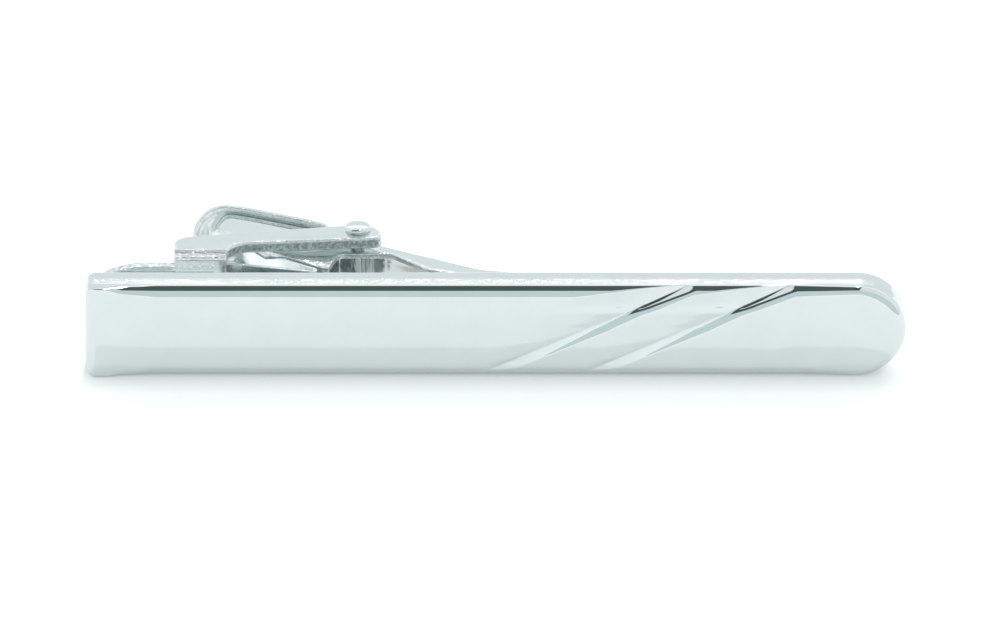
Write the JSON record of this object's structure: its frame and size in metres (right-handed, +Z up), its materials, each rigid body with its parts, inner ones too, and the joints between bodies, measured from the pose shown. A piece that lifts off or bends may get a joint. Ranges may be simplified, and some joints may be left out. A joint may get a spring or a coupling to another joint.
{
  "type": "tie clip",
  "caption": "Long polished bar with two diagonal grooves and a sprung lever clasp behind it that grips a tie.",
  "frame": {"origin": "middle of the flat band along the bar's lower long edge, on the surface the clip stands on, half way along the bar's full length", "axes": "+X along the bar from its square end to its round end, +Y from the bar's front face to its back, where the clasp is, +Z up across the bar's width"},
  "size_m": [0.058, 0.015, 0.0075],
  "materials": {
    "bar_plating": "mirror polished",
    "seat_plating": "plated",
    "bracket_plating": "bright plated",
    "rivet_plating": "bright plated",
    "lever_plating": "bright plated",
    "spring_plating": "plated"
  },
  "bodies": {
    "clip": {"front_bar": "bar_plating", "clasp_seat": "seat_plating", "clasp_bracket": "bracket_plating", "pivot_rivet": "rivet_plating", "leaf_spring": "spring_plating"},
    "lever": {"thumb_lever": "lever_plating"}
  },
  "joints": [
    {"name": "lever_pivot", "type": "hinge", "parent": "clip", "child": "lever", "pos_m": [-0.0098, 0.0075, 0.00375], "axis": [0, 0, 1], "range_deg": [0, 22], "stiffness_Nm_per_rad": 0.003, "springref_deg": -6.88, "deforming": ["leaf_spring"]}
  ]
}
